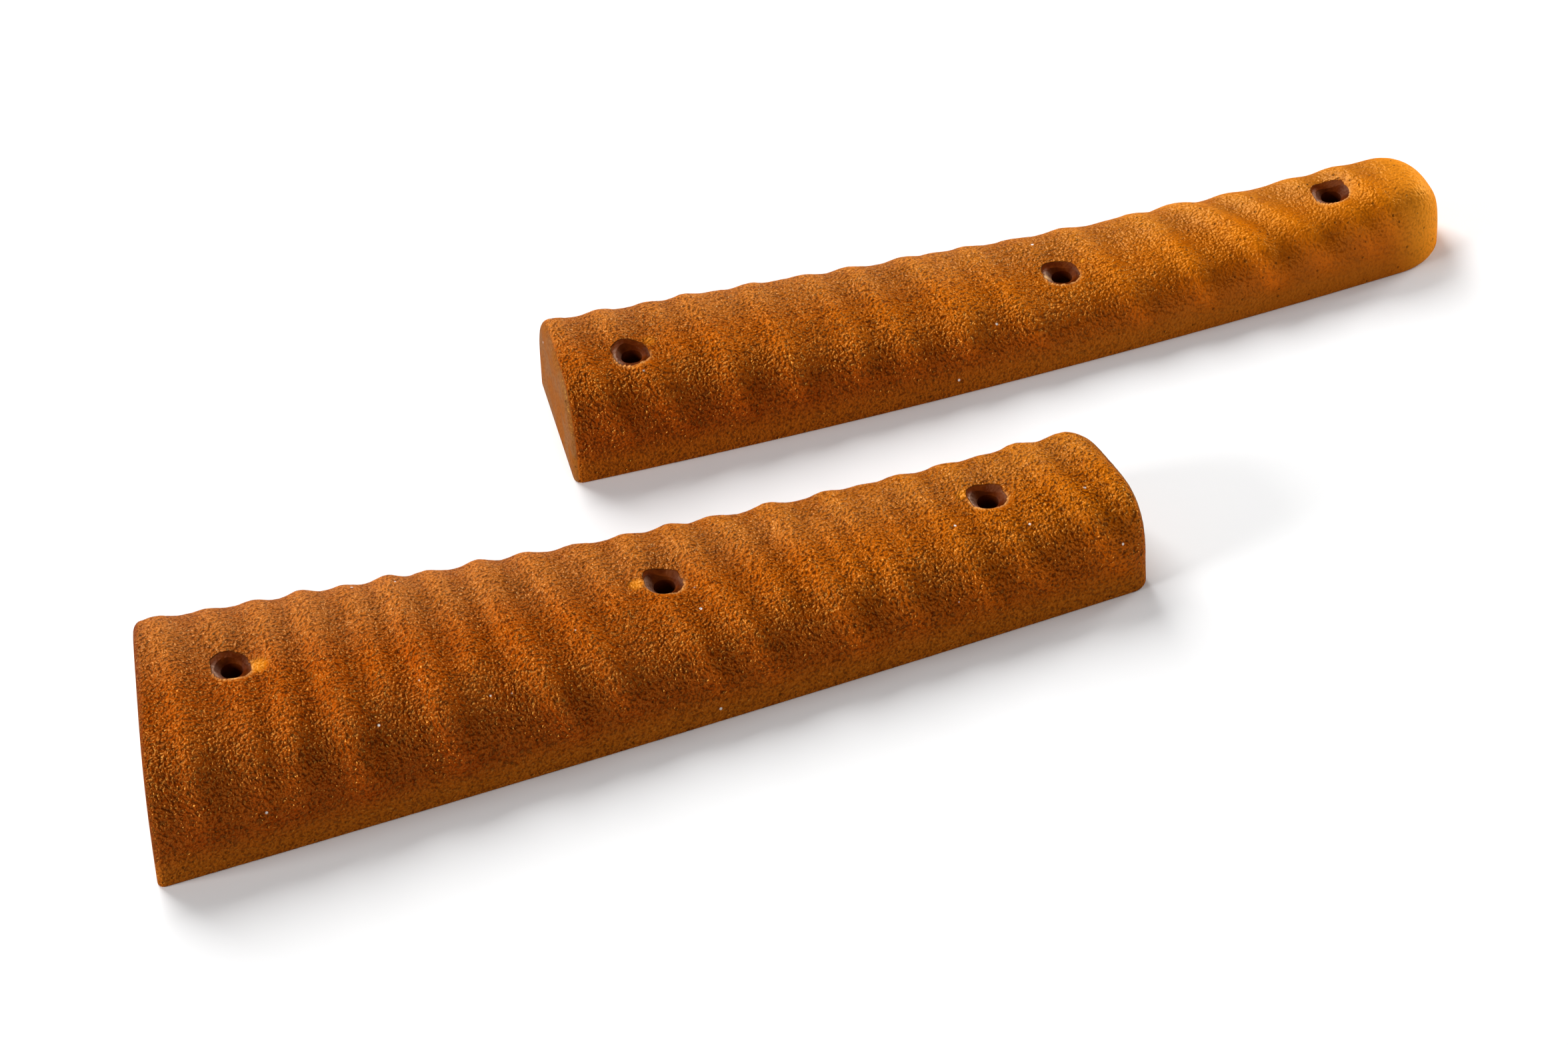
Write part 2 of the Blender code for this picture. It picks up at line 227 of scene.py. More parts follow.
# The same, in shares of the half girth: the crown's painted light to the front and behind, and
# the back's
CROWN_FRONT, CROWN_FRONT_FADE = 0.30, 0.40
CROWN_BEHIND, CROWN_BEHIND_FADE = 0.50, 0.25
BACK_START, BACK_FADE = 0.15, 0.40
# End faces: the shares of their rounding that take their painted shade, and how crisp their sand is
TIP_FACE_SHARE = 0.5
WIDE_FACE_SHARE = 0.1
WIDE_RIGHT_FACE_SHARE = 0.2
END_GRIP = 0.3
# The wide casting's left rounding gets painted shade: how many times a valley's it gets, and how
# many times the rounding that goes in from the end
DARK_ROUNDING = 2.3
DARK_ROUNDING_REACH = 1.3

# Resin: sizes in metres of its grain and marks, and its shine
GRAIN_SIZE = 0.0010
GRAIN_SHIFT = 0.0017
GRAIN_SHIFT_SIZE = 0.0012
GRAIN_RELIEF = 0.0014
FINE_GRAIN_SIZE = 0.0009
RAGGED_SIZE = 0.0011
STREAK_SIZE = 0.0008
PATCH_SIZE = 0.010
CLOUD_SIZE = 0.0035
PINHOLE_SPACING = 0.0034
SPARKLE_SPACING = 0.013
RESIN_ROUGHNESS = 0.45
GLINT_SHARE = 0.065

# Resin colours, many with painted light and shade in them. The first three pairs run from a
# casting's painted-dark stretches to its painted-light ones, the crown lighter than the flank as
# painted light. The end face and sink wall pairs are mottled in two, and GLINT is for the front
# and behind the crown.
FLANK_PAINTED_SHADE = ((0.245, 0.026, 0.000), (0.585, 0.112, 0.000))
CROWN_PAINTED_LIGHT = ((0.370, 0.054, 0.001), (0.670, 0.184, 0.001))
BEHIND_CROWN_PAINTED_LIGHT = ((0.505, 0.148, 0.020), (0.605, 0.204, 0.006))
ORANGE_PATCH = (0.500, 0.105, 0.000)
BROWN_CLOUD = (0.230, 0.026, 0.000)
CALM_AMBER = (0.560, 0.150, 0.004)
VALLEY_PAINTED_SHADE = (0.165, 0.020, 0.000)
NOSE_PAINTED_LIGHT = (0.760, 0.240, 0.010)
LOW_BAND_PAINTED_LIGHT = (0.340, 0.080, 0.002)
END_FACE_PAINTED_SHADE = ((0.220, 0.058, 0.005), (0.190, 0.074, 0.026))
PAINTED_SHEEN_PATCH = (0.330, 0.180, 0.110)
PIT_PAINTED_SHADE = (0.090, 0.008, 0.000)
BLOOM_YELLOW = (0.660, 0.200, 0.003)
PINHOLE_BROWN = (0.050, 0.008, 0.001)
LIP_FLASH_AND_HIGHLIGHT = (0.800, 0.420, 0.160)
SINK_WALL_PAINTED_SHADE = ((0.068, 0.008, 0.000), (0.105, 0.017, 0.001))
SINK_SHEEN = (0.330, 0.190, 0.130)
CHIP_CREAM = (0.800, 0.460, 0.200)
PAINTED_SPARKLE = (0.950, 0.900, 0.860)
GLINT = ((1.0, 0.50, 0.09), (1.0, 0.57, 0.20))
SMOOTH_GLINT = (0.15, 0.08, 0.04)

# Floor and studio. Each lamp has a name, a direction, a distance, a size and a power.
FLOOR_SIZE = 8.0
FLOOR_SHADE = 0.94
FLOOR_ROUGHNESS = 0.8
SKY_STRENGTH = 0.16
LAMPS = (
    ("back_light", (-0.16, 0.74, 0.64), 3.2, 2.0, 116.0),
    ("left_light", (-0.93, -0.06, 0.34), 3.2, 1.2, 84.0),
    ("right_light", (0.92, 0.34, 0.16), 1.0, 0.35, 5.5),
    ("front_light", (0.20, -0.90, 0.38), 3.2, 1.2, 14.0),
)

# Camera: width, focal length and shift in the photograph's pixels, the point on the floor that it
# looks at, measured from the wide casting's origin, and its distance from there
PHOTO_WIDTH = 2352
FOCAL_PIXELS = 8111
SHIFT_PIXELS = (-6, -1)
SENSOR_WIDTH = 36.0
CAMERA_AIM = (0.2118, 0.0421)
CAMERA_DISTANCE = 1.6553


def through(values, share):
    """The smooth curve through evenly spaced values, at shares of the way along them."""
    place = np.asarray(share) * (len(values) - 1)
    total = 0.0
    for i, value in enumerate(values):
        weight = 1.0
        for j in range(len(values)):
            if j != i:
                weight = weight * (place - j) / (i - j)
        total = total + value * weight
    return total


def soft_step(value):
    value = np.clip(value, 0.0, 1.0)
    return value * value * (3 - 2 * value)


def fade_past(share, reach):
    return soft_step((reach + RIPPLE_FADE - share) / (2 * RIPPLE_FADE))


def drawn_in(distance, reach, depth):
    inside = np.clip(1 - distance / reach, 0.0, 1.0)
    return depth * (1 - np.sqrt(1 - inside**2))


def stations(shape, step):
    """Distances from the left end, closer together round both ends."""
    reach = shape.right_rounding[0]
    left_count = max(round(shape.left_rounding * END_DENSITY / step), FEWEST_LEFT_ROWS)
    right_count = max(round(reach * END_DENSITY / step), FEWEST_RIGHT_ROWS)
    left = shape.left_rounding * (1 - np.cos(pi / 2 * np.arange(left_count) / left_count))
    right = shape.length - reach * (1 - np.cos(pi / 2 * np.arange(right_count) / right_count))
    body = shape.length - shape.left_rounding - reach
    middle = shape.left_rounding + body * np.linspace(0, 1, round(body / step) + 1)
    return np.concatenate([left, middle, right[::-1]])


def plain_section(shape, x, steps):
    """Even points round the D section at one station, their outward directions and the girth."""
    right = shape.length - x
    reach, side, top = shape.right_rounding
    left = drawn_in(x, shape.left_rounding, shape.left_rounding)
    half = through(shape.widths, x / shape.length) / 2 - left
    half = half - drawn_in(right, reach, side) - SKIN_INSET
    high = through(shape.heights, x / shape.length) - left
    high = high - drawn_in(right, reach, top) - SKIN_INSET
    half = max(half, 0.0)
    angle = np.linspace(0, pi, SECTION_SAMPLES)
    power = 2 / SECTION_FULLNESS
    y = half * np.sign(np.cos(angle)) * np.abs(np.cos(angle)) ** power
    z = high * np.abs(np.sin(angle)) ** power
    z[-1] = 0.0
    along = np.concatenate([[0], np.cumsum(np.hypot(np.diff(y), np.diff(z)))])
    even = np.linspace(0, along[-1], steps + 1)
    point_y, point_z = np.interp(even, along, y), np.interp(even, along, z)
    fore = np.clip(even + SLOPE_REACH, 0, along[-1])
    aft = np.clip(even - SLOPE_REACH, 0, along[-1])
    dy = np.interp(fore, along, y) - np.interp(aft, along, y)
    dz = np.interp(fore, along, z) - np.interp(aft, along, z)
    length = np.maximum(np.hypot(dy, dz), 1e-9)
    return point_y, point_z, dz / length, -dy / length


def relief(shape, x, y, girth_share):
    """Height of the ripples and dimples over the plain section."""
    level = np.full_like(girth_share, -RIPPLE_FLOOR)
    for crown, lean, bend, height, front, *rest in shape.ripples:
        spread, back = rest if rest else (RIPPLE_SPREAD, FOOT_SHARE)
        line = crown * shape.length + lean * girth_share + bend * girth_share**2
        hump = height * np.exp(-(((x - line) / spread) ** 2))
        level = level + hump * fade_past(girth_share, front) * fade_past(-girth_share, back)
    level = level * fade_past(np.abs(girth_share), FOOT_SHARE)
    for hole_x, hole_y in shape.holes:
        squared = (x - hole_x) ** 2 + (y - hole_y - DIMPLE_SET_BACK) ** 2
        level = level - DIMPLE_DEPTH * np.exp(-squared / DIMPLE_RADIUS**2)
    return level


def lumps(points, size, seed):
    """Smooth noise from -1 to 1 at each point, with lumps of the given size in metres."""
    shift = Vector((seed * 7.13, seed * 3.71, seed * 5.39))
    return np.array([noise.noise(Vector(point) / size + shift) for point in points])


def sanding(x, y, z):
    """Depth of the cast-in sand's pits round one station, all inwards from the moulded surface."""
    points = np.stack([np.full_like(y, x), y, z], -1)
    rough = sum(weight * lumps(points, size, seed) for weight, size, seed in SAND_LUMPS)
    return SAND_DEPTH * np.clip(0.5 + rough / 1.2, 0, 1)


def grip_strength(shape, x, z):
    """How crisp the sand is: weaker low on the sides and, on the tip, towards the nose."""
    share = x / shape.length
    line = SMOOTH_BAND[0] + (SMOOTH_BAND[1] - SMOOTH_BAND[0]) * share
    grip = 0.72 + 0.28 * soft_step((z - line * 0.45) / (line * 0.75))
    if shape.nose:
        grip = grip * (1 - 0.74 * soft_step((share - 0.35) / 0.52))
    return grip


def deselect_all():
    for piece in bpy.context.selected_objects:
        piece.select_set(False)


def select_only(piece):
    deselect_all()
    piece.select_set(True)
    bpy.context.view_layer.objects.active = piece


def wrapped_skin(shape, step):
    """A flat sheet of quads, wrapped over the D section and pushed out into its ripples."""
    rows = stations(shape, step)
    y, z, _, _ = plain_section(shape, shape.length / 2, GIRTH_SAMPLES)
    girth = float(np.sum(np.hypot(np.diff(y), np.diff(z))))
    steps = 2 * round(girth / 2 / step)
    bpy.ops.mesh.primitive_grid_add(x_subdivisions=len(rows) - 1, y_subdivisions=steps, size=1.0)
    skin = bpy.context.active_object
    skin.name = shape.name
    count = len(skin.data.vertices)
    flat = np.empty(count * 3, np.float32)
    skin.data.vertices.foreach_get("co", flat)
    flat = flat.reshape(-1, 3).astype(float)
    column = np.rint((flat[:, 0] + 0.5) * (len(rows) - 1)).astype(int)
    place = steps - np.rint((flat[:, 1] + 0.5) * steps).astype(int)
    share = 2 * np.arange(steps + 1) / steps - 1
    surface = np.empty((len(rows), steps + 1, 3))
    for i, x in enumerate(rows):
        y, z, out_y, out_z = plain_section(shape, x, steps)
        deeper = VALLEY_GAIN * soft_step((share + VALLEY_BEHIND) / VALLEY_BEHIND_FADE)
        deeper = deeper * soft_step((VALLEY_FRONT - share) / VALLEY_FRONT_FADE)
        level = relief(shape, x, y, share)
        level = level - deeper * np.clip(VALLEY_TOP - level, 0, None)
        level = level - grip_strength(shape, x, z) * sanding(x, y, z)
        level[0] = level[-1] = 0.0
        if shape.nose:
            level = level * soft_step((shape.length - x) / shape.right_rounding[0])
        y, z = y + out_y * level, z + out_z * level
        start, end = (tan(angle) for angle in shape.end_angles)
        lean = (1 - x / shape.length) * start + x / shape.length * end
        inner = SKIN_INSET + x * (1 - 2 * SKIN_INSET / shape.length)
        surface[i] = np.stack([inner + y * lean, y, z], -1)
    skin.data.vertices.foreach_set("co", surface[column, place].astype(np.float32).ravel())
    skin.data.update()
    select_only(skin)
    bpy.ops.object.mode_set(mode="EDIT")
    bpy.ops.mesh.select_all(action="SELECT")
    bpy.ops.mesh.remove_doubles(threshold=SEAM_MERGE)
    bpy.ops.object.mode_set(mode="OBJECT")
    return skin


def select_points(mesh, flags):
    """In edit mode, select the flagged vertices, with the edges and faces between them."""
    bpy.ops.mesh.select_mode(type="VERT")
    bpy.ops.mesh.select_all(action="DESELECT")
    bpy.ops.object.mode_set(mode="OBJECT")
    mesh.vertices.foreach_set("select", flags)
    bpy.ops.object.mode_set(mode="EDIT")
    bpy.ops.mesh.select_mode(type="VERT")


def point_table(mesh):
    points = np.empty(len(mesh.vertices) * 3, np.float32)
    mesh.vertices.foreach_get("co", points)
    return points.reshape(-1, 3).astype(float)


def close_skin(shape, skin):
    """Fill the flat back and the square ends. The tip's nose closes by itself."""
    mesh = skin.data
    select_only(skin)
    bpy.ops.object.mode_set(mode="EDIT")
    for x, angle in zip((SKIN_INSET, shape.length - SKIN_INSET), shape.end_angles):
        if x > SKIN_INSET and shape.nose:
            continue
        bpy.ops.object.mode_set(mode="OBJECT")
        points = point_table(mesh)
        on_end = np.abs(points[:, 0] - x - points[:, 1] * tan(angle)) < ON_END
        bpy.ops.object.mode_set(mode="EDIT")
        select_points(mesh, on_end)
        bpy.ops.mesh.edge_face_add()
        bpy.ops.mesh.inset(thickness=END_FACE_INSET, depth=0.0)
    bpy.ops.mesh.select_mode(type="EDGE")
    bpy.ops.mesh.select_all(action="DESELECT")
    bpy.ops.mesh.select_non_manifold()
    bpy.ops.mesh.edge_face_add()
    bpy.ops.mesh.select_all(action="SELECT")
    bpy.ops.mesh.normals_make_consistent(inside=False)
    bpy.ops.object.mode_set(mode="OBJECT")


def soften_back(shape, skin):
    """Break the sharp edge round the flat back, clear of the screw holes and the nose's tip."""
    points = point_table(skin.data)
    on_back = points[:, 2] < ON_BACK
    for x, y in shape.holes:
        on_back &= np.hypot(points[:, 0] - x, points[:, 1] - y) > HOLE_CLEARANCE
    if shape.nose:
        on_back &= points[:, 0] < shape.length - NOSE_CLEARANCE
    select_only(skin)
    bpy.ops.object.mode_set(mode="EDIT")
    select_points(skin.data, on_back)
    bpy.ops.mesh.select_mode(type="EDGE")
    bpy.ops.mesh.bevel(offset=BACK_EDGE, segments=2, affect="EDGES")
    bpy.ops.object.mode_set(mode="OBJECT")


def section_height(shape, x, y):
    half = through(shape.widths, x / shape.length) / 2
    high = through(shape.heights, x / shape.length)
    return float(high * (1 - (abs(y) / half) ** SECTION_FULLNESS) ** (1 / SECTION_FULLNESS))


def hole_cutter(shape, x, y, number):
    """A turned cutter: a cylinder for the bore, its top drawn out into the countersink and lip."""
    share = np.array([-y / ROUGH_HALF_GIRTH])
    surface = section_height(shape, x, y) + float(relief(shape, x, y, share)[0])
    sink = surface - COUNTERSINK_WIDTH
    bpy.ops.mesh.primitive_cylinder_add(
        vertices=CUTTER_SIDES,
        radius=BORE,
        depth=sink + CUTTER_FOOT,
        location=(x, y, (sink - CUTTER_FOOT) / 2),
    )
    cutter = bpy.context.active_object
    cutter.name = f"{shape.name}_hole_{number}"
    bpy.ops.object.transform_apply(location=True, rotation=False, scale=False)
    bpy.ops.object.mode_set(mode="EDIT")
    bpy.ops.mesh.select_mode(type="FACE")
    bpy.ops.mesh.select_all(action="DESELECT")
    bpy.ops.object.mode_set(mode="OBJECT")
    for face in cutter.data.polygons:
        face.select = face.normal.z > 0.9
    bpy.ops.object.mode_set(mode="EDIT")
    radius = BORE
    for rise, wider in SINK_STEPS:
        grow = (radius + wider) / radius
        radius += wider
        bpy.ops.mesh.extrude_region_move(TRANSFORM_OT_translate={"value": (0, 0, rise)})
        bpy.ops.transform.resize(value=(grow, grow, 1), center_override=(x, y, sink))
    bpy.ops.object.mode_set(mode="OBJECT")
    return cutter


def drill(skin, cutters):
    """Cut the screw holes."""
    for cutter in cutters:
        cut = skin.modifiers.new(cutter.name, "BOOLEAN")
        cut.object = cutter
        cut.operation = "DIFFERENCE"
        cut.solver = "EXACT"
        select_only(skin)
        bpy.ops.object.modifier_apply(modifier=cut.name)
        bpy.data.objects.remove(cutter, do_unlink=True)


def unleaned(shape, points):
    """Stations of points along a casting, with the slant of its end faces taken out."""
    start, end = tan(shape.end_angles[0]), tan(shape.end_angles[1])
    return (points[:, 0] - points[:, 1] * start) / (1 + points[:, 1] * (end - start) / shape.length)


def girth_places(shape, x, points):
    """Shares of the half girth at points: -1 at the back foot, 0 on the crown line, 1 in front."""
    half = through(shape.widths, np.clip(x / shape.length, 0, 1)) / 2
    high = through(shape.heights, np.clip(x / shape.length, 0, 1))
    power = SECTION_FULLNESS / 2
    up = np.clip(points[:, 2] / high, 0, None) ** power
    out = np.sign(points[:, 1]) * np.clip(np.abs(points[:, 1]) / half, 0, None) ** power
    turn = np.arctan2(up, out)
    angle = np.linspace(0, pi, SECTION_SAMPLES)
    middle = len(shape.widths) // 2
    y = shape.widths[middle] / 2 * np.sign(np.cos(angle)) * np.abs(np.cos(angle)) ** (1 / power)
    z = shape.heights[middle] * np.abs(np.sin(angle)) ** (1 / power)
    along = np.concatenate([[0], np.cumsum(np.hypot(np.diff(y), np.diff(z)))])
    return 2 * np.interp(turn, angle, along) / along[-1] - 1


def paint_holes(shape, points, painted_shade):
    """Point values round the screw holes: the hollow, its pale lip, partly a painted highlight,
    calm band, painted sheen and painted shade.
    """
    hollow, lip, calm, sheen = (np.zeros(len(points)) for _ in range(4))
    for hole_x, hole_y in shape.holes:
        across, back = points[:, 0] - hole_x, points[:, 1] - hole_y
        radius = np.maximum(np.hypot(across, back), 1e-6)
        front = soft_step(0.45 - 0.75 * back / radius)
        edge = HOLLOW_EDGE + HOLLOW_WIDER_BEHIND * soft_step((back / radius - 0.2) / 0.6)
        hollow = np.maximum(hollow, 1 - soft_step((radius - edge) / (edge - HOLLOW_FADE_FROM)))
        # Pale lip at the front of each rim: the resin's flash, and a painted highlight on its edge
        lip = np.maximum(lip, np.exp(-(((radius - LIP_RADIUS) / LIP_WIDTH) ** 2)) * front)
        near = 1 - soft_step((radius - CALM_START) / CALM_FADE)
        calm = np.maximum(calm, near * (0.15 + 0.85 * front))
        # Painted reflection on the left and right walls of each countersink
        left = np.exp(-(((across / radius + 1) / 0.22) ** 2))
        right = 0.25 * np.exp(-(((across / radius - 1) / 0.10) ** 2))
        outer = (0.25 + 0.75 * (radius > SHEEN_FULL)) * (radius < SHEEN_END)
        sheen = np.maximum(sheen, (left + right) * outer)
        # Painted shade behind each hole, over its dimple
        fading = 1 - soft_step((radius - BEHIND_START) / BEHIND_FADE)
        behind = BEHIND_DARKENING * soft_step(back / radius * 1.4 + 0.1) * fading
        painted_shade = np.maximum(painted_shade, behind)
    return hollow, lip, calm, sheen, painted_shade


def paint(shape, skin):
    """Point values that the resin's finish and its painted light and shade follow, such as grip,
    the valleys' painted shade and hollow.
    """
    points = point_table(skin.data)
    x = unleaned(shape, points)
    share = girth_places(shape, x, points)
    level = relief(shape, x, points[:, 1], share)
    end = x < shape.left_rounding * (TIP_FACE_SHARE if shape.nose else WIDE_FACE_SHARE)
    if not shape.nose:
        end |= x > shape.length - shape.right_rounding[0] * WIDE_RIGHT_FACE_SHARE
    # Painted sheen: a pale patch on the left end face
    worn = np.zeros(len(points))
    if shape.worn:
        sheen_y, sheen_z, size = shape.worn
        squared = (points[:, 1] - sheen_y) ** 2 + (points[:, 2] - sheen_z) ** 2
        worn = end * np.exp(-squared / size**2)
    grip = np.where(end, END_GRIP, grip_strength(shape, x, points[:, 2]))
    # Painted shade in the ripples' valleys
    painted_shade = 1 - soft_step((level + RIPPLE_FLOOR) / VALLEY_COLOUR_RISE)
    if not shape.nose:
        # Painted shade on the wide casting's left rounding
        dark = DARK_ROUNDING * soft_step(DARK_ROUNDING_REACH - x / shape.left_rounding)
        painted_shade = np.maximum(painted_shade, dark)
    hollow, lip, calm, sheen, painted_shade = paint_holes(shape, points, painted_shade)
    bloom = np.zeros(len(points))
    for spot_x, spot_y, size, strength in shape.blooms:
        squared = (points[:, 0] - spot_x) ** 2 + (points[:, 1] - spot_y) ** 2
        bloom = np.maximum(bloom, strength * np.exp(-squared / size**2))
    chip = np.zeros(len(points))
    if shape.chip:
        chip_x, chip_y, size = shape.chip
        squared = (points[:, 0] - chip_x) ** 2 + (points[:, 1] - chip_y) ** 2
        chip = np.exp(-squared / size**2)
    in_front = 1 - soft_step((share - CROWN_FRONT) / CROWN_FRONT_FADE)
    behind = 1 - soft_step((-CROWN_BEHIND - share) / CROWN_BEHIND_FADE)
    values = {
        "grip": grip,
        "painted_shade": painted_shade,
        "hollow": hollow,
        "lip": lip,
        "calm": calm,
        "sheen": sheen,
        "bloom": bloom,
        "cream": chip,
        "end": end.astype(float),
        "worn": worn,
        "nose": soft_step((x - shape.length + NOSE_COLOUR_REACH) / NOSE_COLOUR_FADE) * shape.nose,
        # crown and back place the painted light on the crown and behind it
        "crown": in_front * behind,
        "back": soft_step((BACK_START - share) / BACK_FADE),
        # Painted light along the casting, lighter towards the right end
        "light": through(shape.lightness, np.clip(x / shape.length, 0, 1)),
    }
    for name, value in values.items():
        attribute = skin.data.attributes.new(name, "FLOAT", "POINT")
        attribute.data.foreach_set("value", value.astype(np.float32))


def settle(shape, skin):
    """Set the finished casting down in its place beside the other one."""
    turned = Matrix.Rotation(shape.turn, 4, "Z")
    skin.data.transform(Matrix.Translation((*shape.origin, 0.0)) @ turned)
    select_only(skin)
    bpy.ops.object.shade_smooth_by_angle(angle=SMOOTH_ANGLE)


def make_casting(shape, resin):
    deselect_all()
    skin = wrapped_skin(shape, SKIN_STEP)
    close_skin(shape, skin)
    cutters = [
        hole_cutter(shape, x, y, number) for number, (x, y) in enumerate(shape.holes, start=1)
    ]
    drill(skin, cutters)
    soften_back(shape, skin)
    paint(shape, skin)
    settle(shape, skin)
    skin.data.materials.append(resin)
    return skin


class Socket:
    """A shader socket that can be added to, multiplied and so on."""

    def __init__(self, tree, link):
        self.tree = tree
        self.link = link

    def _math(self, operation, *values):
        sockets = dict(enumerate(values))
        return add_node(self.tree, "ShaderNodeMath", {"operation": operation}, sockets)

    def __add__(self, other):
        return self._math("ADD", self, other)

    def __radd__(self, other):
        return self._math("ADD", other, self)

    def __sub__(self, other):
        return self._math("SUBTRACT", self, other)

    def __rsub__(self, other):
        return self._math("SUBTRACT", other, self)

    def __mul__(self, other):
        return self._math("MULTIPLY", self, other)

    def __rmul__(self, other):
        return self._math("MULTIPLY", other, self)

    def clear_of(self, low, high):
        """0 below low, 1 above high and smooth between."""
        return add_node(
            self.tree,
            "ShaderNodeMapRange",
            {"interpolation_type": "SMOOTHSTEP"},
            {"Value": self, "From Min": low, "From Max": high},
        )


def add_node(tree, kind, settings=None, sockets=None, output=0):
    node = tree.nodes.new(kind)
    for name, value in (settings or {}).items():
        setattr(node, name, value)
    for name, value in (sockets or {}).items():
        if isinstance(value, Socket):
            tree.links.new(value.link, node.inputs[name])
        else:
            node.inputs[name].default_value = value
    return Socket(tree, node.outputs[output])


def mixed(tree, factor, first, second):
    """A colour between two others."""
    sockets = {0: factor}
    for index, colour in ((6, first), (7, second)):
        sockets[index] = colour if isinstance(colour, Socket) else (*colour, 1.0)
    return add_node(tree, "ShaderNodeMix", {"data_type": "RGBA"}, sockets, output=2)


def new_material(name):
    material = bpy.data.materials.new(name)
    material.use_nodes = True
    tree = material.node_tree
    shader = tree.nodes["Principled BSDF"]
    return material, tree, shader


def noise_at(tree, where, size, detail=0.0, output=0):
    """Noise with lumps of the given size in metres."""
    sockets = {"Vector": where, "Scale": 1 / size, "Detail": detail}
    return add_node(tree, "ShaderNodeTexNoise", {}, sockets, output)


def spots_at(tree, where, spacing):
    """Distance from the nearest of scattered spots, as a share of their spacing."""
    sockets = {"Vector": where, "Scale": 1 / spacing}
    return add_node(tree, "ShaderNodeTexVoronoi", {"feature": "F1"}, sockets)


def painted(tree, name):
    return add_node(tree, "ShaderNodeAttribute", {"attribute_name": name}, output=2)


def sand_grains(tree, place):
    """Rounded grains about a millimetre across, run together: low in the pits, high on top."""
    push = noise_at(tree, place, GRAIN_SHIFT_SIZE, output=1)
    sockets = {0: push, 1: (GRAIN_SHIFT,) * 3, 2: place}
    pushed = add_node(tree, "ShaderNodeVectorMath", {"operation": "MULTIPLY_ADD"}, sockets)
    grains = add_node(
        tree,
        "ShaderNodeTexVoronoi",
        {"feature": "SMOOTH_F1"},
        {"Vector": pushed, "Scale": 1 / GRAIN_SIZE, "Smoothness": 0.5},
    )
    return (1 - grains) * 0.5 + noise_at(tree, place, FINE_GRAIN_SIZE) * 0.7


